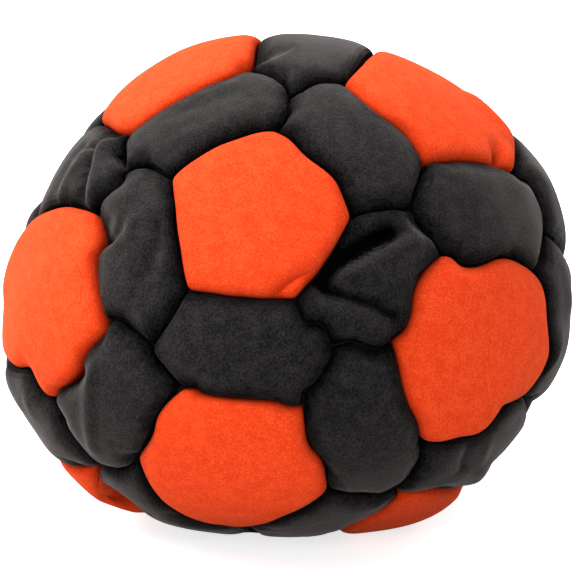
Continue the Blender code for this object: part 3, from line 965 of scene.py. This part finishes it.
# %% [markdown]
# Materials
#
# Synthetic suede is brushed microfibre: a dense nap of short fibres, quite matt, with a soft
# sheen where it is seen at a slant. The charcoal one is a melange, spun from near black and
# grey fibres, which gives its mottled look. The orange one is dyed in one colour.

# %% Make the suede, thread and sand materials
# Real fibres are 0.02 mm thick, which is too fine to show. Tufts of 0.2 mm are what the eye
# sees at this distance, in lighter and darker clouds of about a millimetre. Each noise has
# its tufts or clouds in a metre, then its detail and the roughness of that detail
TUFTS = (5200.0, 1.0, 0.6)
CLOUDS = (900.0, 3.0, 0.5)
CLOUD_SHARE = 0.35
# The colour goes from that of the darker fibres to the lighter ones over this part of the noise
FIBRE_RANGE = (0.36, 0.68)
NAP_STRENGTH = 0.5
NAP_HEIGHT = 0.00012
# The Mix node has several inputs of one name, so those for colours go by their numbers
COLOUR_SHARE, COLOUR_FIRST, COLOUR_SECOND, COLOUR_MIXED = 0, 6, 7, 2
SUEDE_ROUGHNESS = 0.95
SHEEN_ROUGHNESS = 0.45
DULL_GLOSS = 0.10
# Five copies of each suede lose sheen and gloss step by step into the seams: painted shade.
# These are the five steps and the share of the sheen left in each
SHEEN_LEFT = {"unshaded": 1.0, "shaded_a_little": 0.7, "shaded_more": 0.45, "shaded_much": 0.22, "shaded_most": 0.05}
# A suede's name, the colours of its darker and lighter fibres and of the shade painted in its
# seams and folds, the sunk depths between which that shows, its gloss, its sheen and the
# colour of the sheen
SUEDES = {
    "orange": ("dyed_orange_microfibre", "DC380D", "EF4E20", "6A1004",
               (0.0, 0.9), 0.15, 0.22, "FF8C54"),
    "charcoal": ("melange_charcoal_microfibre", "040404", "262323", "010101",
                 (0.07, 0.63), 0.15, 0.54, "A09896"),
}


def blended(tree, share, first, second):
    """The output of a mix of two colours."""
    mix = add_node(tree, "ShaderNodeMix", data_type="RGBA")
    fill_inputs(tree, mix, {COLOUR_SHARE: share, COLOUR_FIRST: first, COLOUR_SECOND: second})
    return mix.outputs[COLOUR_MIXED]


def suede(shade_step, name, low, high, deep, shade, gloss, sheen, gleam):
    """Brushed microfibre of two fibre colours, at one of five steps of painted shade."""
    material, tree, shader = new_material(name + "_nap_" + shade_step)
    place = add_node(tree, "ShaderNodeTexCoord").outputs["Object"]
    tufts, clouds = [add_node(tree, "ShaderNodeTexNoise",
                              {"Vector": place, "Scale": scale, "Detail": detail,
                               "Roughness": rough}).outputs["Fac"]
                     for scale, detail, rough in (TUFTS, CLOUDS)]
    fibres = add_node(tree, "ShaderNodeMix", {"Factor": CLOUD_SHARE, "A": tufts, "B": clouds})
    share = add_node(tree, "ShaderNodeMapRange",
                     {"Value": fibres.outputs["Result"], "From Min": FIBRE_RANGE[0],
                      "From Max": FIBRE_RANGE[1]}, interpolation_type="SMOOTHSTEP")
    tint = blended(tree, share.outputs["Result"], colour(low), colour(high))
    # Deep in the seams and folds the colour is mixed towards a darker one: painted shade
    sunk = add_node(tree, "ShaderNodeAttribute", attribute_name="sunk").outputs["Fac"]
    depth = add_node(tree, "ShaderNodeMapRange", {"Value": sunk, "From Min": shade[0],
                                                  "From Max": shade[1]})
    nap = add_node(tree, "ShaderNodeBump", {"Height": fibres.outputs["Result"],
                                            "Strength": NAP_STRENGTH, "Distance": NAP_HEIGHT})
    fill_inputs(tree, shader, {
        "Base Color": blended(tree, depth.outputs["Result"], tint, colour(deep)),
        "Normal": nap.outputs["Normal"],
        "Roughness": SUEDE_ROUGHNESS,
        "Specular IOR Level": gloss * SHEEN_LEFT[shade_step],
        "Sheen Weight": sheen * SHEEN_LEFT[shade_step],
        "Sheen Roughness": SHEEN_ROUGHNESS,
        "Sheen Tint": colour(gleam),
    })
    return material


def plain(name, code, roughness):
    """One even colour, for what hardly shows."""
    material, tree, shader = new_material(name)
    fill_inputs(tree, shader, {"Base Color": colour(code), "Roughness": roughness,
                               "Specular IOR Level": DULL_GLOSS})
    return material


naps = {kind: [suede(shade_step, *look) for shade_step in SHEEN_LEFT] for kind, look in SUEDES.items()}
black_thread = plain("bonded_black_polyester_thread", "050505", 0.6)
washed_sand = plain("washed_quartz_sand", "B9A27C", 0.9)
for node, piece in panels.items():
    for material in naps[node.split("_")[0]]:
        piece.data.materials.append(material)
sand_data.materials.append(washed_sand)
print("naps:", {kind: len(made) for kind, made in naps.items()})


# %% Build the stitches with Geometry Nodes
def stitch_tree():
    """A node group that turns seam lines into a thread with a slanted stitch at each step."""
    tree = bpy.data.node_groups.new("stitches_along_seams", "GeometryNodeTree")
    face = tree.interface
    face.new_socket("Geometry", in_out="INPUT", socket_type="NodeSocketGeometry")
    for name in ("Pitch", "Length", "Thickness", "Slant"):
        face.new_socket(name, in_out="INPUT", socket_type="NodeSocketFloat")
    face.new_socket("Material", in_out="INPUT", socket_type="NodeSocketMaterial")
    face.new_socket("Geometry", in_out="OUTPUT", socket_type="NodeSocketGeometry")
    given = add_node(tree, "NodeGroupInput").outputs
    radius = add_node(tree, "ShaderNodeMath", {0: given["Thickness"], 1: 0.5},
                      operation="MULTIPLY").outputs[0]
    ring = add_node(tree, "GeometryNodeCurvePrimitiveCircle",
                    {"Radius": radius, "Resolution": THREAD_SIDES})
    core = add_node(tree, "GeometryNodeCurveToMesh",
                    {"Curve": given["Geometry"], "Profile Curve": ring.outputs["Curve"],
                     "Fill Caps": True})
    steps = add_node(tree, "GeometryNodeResampleCurve",
                     {"Curve": given["Geometry"], "Length": given["Pitch"]}, mode="LENGTH")
    along = add_node(tree, "GeometryNodeInputTangent").outputs["Tangent"]
    turn = add_node(tree, "FunctionNodeAlignRotationToVector", {"Vector": along}, axis="Z")
    slant = add_node(tree, "ShaderNodeCombineXYZ", {"X": given["Slant"]})
    slanted = add_node(tree, "FunctionNodeRotateRotation",
                       {"Rotation": turn.outputs["Rotation"], "Rotate By": slant.outputs["Vector"]},
                       rotation_space="LOCAL")
    capsule = add_node(tree, "GeometryNodeMeshUVSphere",
                       {"Segments": STITCH_SEGMENTS, "Rings": STITCH_RINGS, "Radius": radius})
    ratio = add_node(tree, "ShaderNodeMath", {0: given["Length"], 1: given["Thickness"]},
                     operation="DIVIDE").outputs[0]
    long = add_node(tree, "ShaderNodeCombineXYZ", {"X": 1.0, "Y": 1.0, "Z": ratio})
    stitch = add_node(tree, "GeometryNodeTransform",
                      {"Geometry": capsule.outputs["Mesh"], "Scale": long.outputs["Vector"]})
    placed = add_node(tree, "GeometryNodeInstanceOnPoints",
                      {"Points": steps.outputs["Curve"], "Instance": stitch.outputs["Geometry"],
                       "Rotation": slanted.outputs["Rotation"]})
    real = add_node(tree, "GeometryNodeRealizeInstances", {"Geometry": placed.outputs["Instances"]})
    both = add_node(tree, "GeometryNodeJoinGeometry")
    tree.links.new(core.outputs["Mesh"], both.inputs["Geometry"])
    tree.links.new(real.outputs["Geometry"], both.inputs["Geometry"])
    dyed = add_node(tree, "GeometryNodeSetMaterial",
                    {"Geometry": both.outputs["Geometry"], "Material": given["Material"]})
    add_node(tree, "NodeGroupOutput", {"Geometry": dyed.outputs["Geometry"]})
    return tree


def converted(source, name, tree, values):
    """The source with the node group and its inputs applied, as a plain mesh object."""
    maker = source.modifiers.new(tree.name, "NODES")
    maker.node_group = tree
    for socket in tree.interface.items_tree:
        if socket.in_out == "INPUT" and socket.name in values:
            maker[socket.identifier] = values[socket.name]
    shaped = source.evaluated_get(bpy.context.evaluated_depsgraph_get())
    piece = new_object(name, bpy.data.meshes.new_from_object(shaped))
    bpy.data.objects.remove(source)
    return piece


sewn_thread = converted(thread_path, "sewn_thread", stitch_tree(),
                        {"Pitch": STITCH_PITCH, "Length": STITCH_LENGTH,
                         "Thickness": THREAD_WIDTH / 2, "Slant": radians(STITCH_SLANT),
                         "Material": black_thread})
sewn_thread.data.shade_smooth()
print("thread faces:", len(sewn_thread.data.polygons))

# %% [markdown]
# The studio
#
# The photograph has a white background and soft light from above, a little to the left, so
# that crowns are brighter on top than underneath. Three softboxes give it: a large one above
# on the left, a weaker one low in front for the near side, and a small one on the right for
# that rim. Through Is Camera Ray the camera sees the floor and the world as white, while the
# object gets less light from them, and a faint soft shadow is left under it.

# %% Floor and background
FLOOR_REACH = 2
FLOOR_GLOW = 0.72
ROOM_LIGHT = 0.4
PAGE_LIGHT = 1.0

floor_data = bpy.data.meshes.new("floor")
floor_data.from_pydata([(x * FLOOR_REACH, y * FLOOR_REACH, 0)
                        for x, y in ((-1, -1), (1, -1), (1, 1), (-1, 1))], [], [(0, 1, 2, 3)])
floor = new_object("floor", floor_data)

paper, tree, _ = new_material("white_paper_floor")
tree.nodes.clear()
seen = add_node(tree, "ShaderNodeLightPath")
lit = add_node(tree, "ShaderNodeBsdfDiffuse", {"Color": colour("C0C0C0")})
white = add_node(tree, "ShaderNodeBsdfDiffuse", {"Color": colour("E6E6E6")})
glow = add_node(tree, "ShaderNodeEmission", {"Color": colour("FFFFFF"), "Strength": FLOOR_GLOW})
bright = add_node(tree, "ShaderNodeAddShader", {0: white.outputs[0], 1: glow.outputs[0]})
either = add_node(tree, "ShaderNodeMixShader", {0: seen.outputs["Is Camera Ray"],
                                                1: lit.outputs[0], 2: bright.outputs[0]})
add_node(tree, "ShaderNodeOutputMaterial", {"Surface": either.outputs[0]})
floor_data.materials.append(paper)

world = bpy.data.worlds.new("studio")
bpy.context.scene.world = world
world.use_nodes = True
tree = world.node_tree
tree.nodes.clear()
path = add_node(tree, "ShaderNodeLightPath")
glossy = add_node(tree, "ShaderNodeMath", {0: path.outputs["Is Camera Ray"],
                                           1: path.outputs["Is Glossy Ray"]}, operation="MAXIMUM")
shown = add_node(tree, "ShaderNodeMath", {0: glossy.outputs[0],
                                          1: path.outputs["Is Transmission Ray"]},
                 operation="MAXIMUM")
room, page = [add_node(tree, "ShaderNodeBackground", {"Color": colour("FFFFFF"), "Strength": light})
              for light in (ROOM_LIGHT, PAGE_LIGHT)]
sky = add_node(tree, "ShaderNodeMixShader", {0: shown.outputs[0], 1: room.outputs[0],
                                             2: page.outputs[0]})
add_node(tree, "ShaderNodeOutputWorld", {"Surface": sky.outputs[0]})

# %% Lights
# The place, the side in metres and the power in watts of each square softbox
LAMPS = {
    "softbox_above": ((-0.41, 0.14, 0.59), 0.7, 12.0),
    "softbox_front": ((-0.20, -0.85, 0.25), 0.6, 4.5),
    "softbox_side": ((0.52, 0.20, 0.50), 0.4, 2.0),
}
LAMP_TARGET = Vector((0, 0, 0.02))

for name, (place, side, power) in LAMPS.items():
    light = new_object(name, bpy.data.lights.new(name, "AREA"))
    light.data.size = side
    light.data.energy = power
    light.location = place
    light.rotation_euler = (LAMP_TARGET - Vector(place)).to_track_quat("-Z", "Y").to_euler()

# %% [markdown]
# The camera
#
# It looks at the ball from 15 degrees above, as the photograph does. The lens is worked out so
# that one pixel of the 576 is one pixel of the photograph.

# %% Camera
CAMERA_DISTANCE = 1.2
CLIP_RANGE = (0.01, 10)

tilt = radians(VIEW_ELEVATION)
aim_up = (PHOTO_CENTRE[1] - PHOTO_SIZE / 2) * PIXEL
aim_right = (PHOTO_SIZE / 2 - PHOTO_CENTRE[0]) * PIXEL
up = Vector((0, sin(tilt), cos(tilt)))
back = Vector((0, -cos(tilt), sin(tilt)))
aim = Vector((0, 0, FOOT_DROP)) + Vector((1, 0, 0)) * aim_right + up * aim_up
camera = new_object("camera", bpy.data.cameras.new("camera"))
bpy.context.scene.camera = camera
camera.location = aim + back * CAMERA_DISTANCE
camera.rotation_euler = (-back).to_track_quat("-Z", "Y").to_euler()
camera.data.lens = camera.data.sensor_width * CAMERA_DISTANCE / (PHOTO_SIZE * PIXEL)
camera.data.clip_start, camera.data.clip_end = CLIP_RANGE
bpy.context.scene.view_settings.view_transform = "Standard"

# %% Fasten the pieces to the model's body and finish
for node, piece in panels.items():
    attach(piece, "root")
    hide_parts(node)
for piece, node, slot in ((sewn_thread, "seam_thread", "black_thread"),
                          (filled_sand, "sand_filling", "sand")):
    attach(piece, "root")
    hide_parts(node)
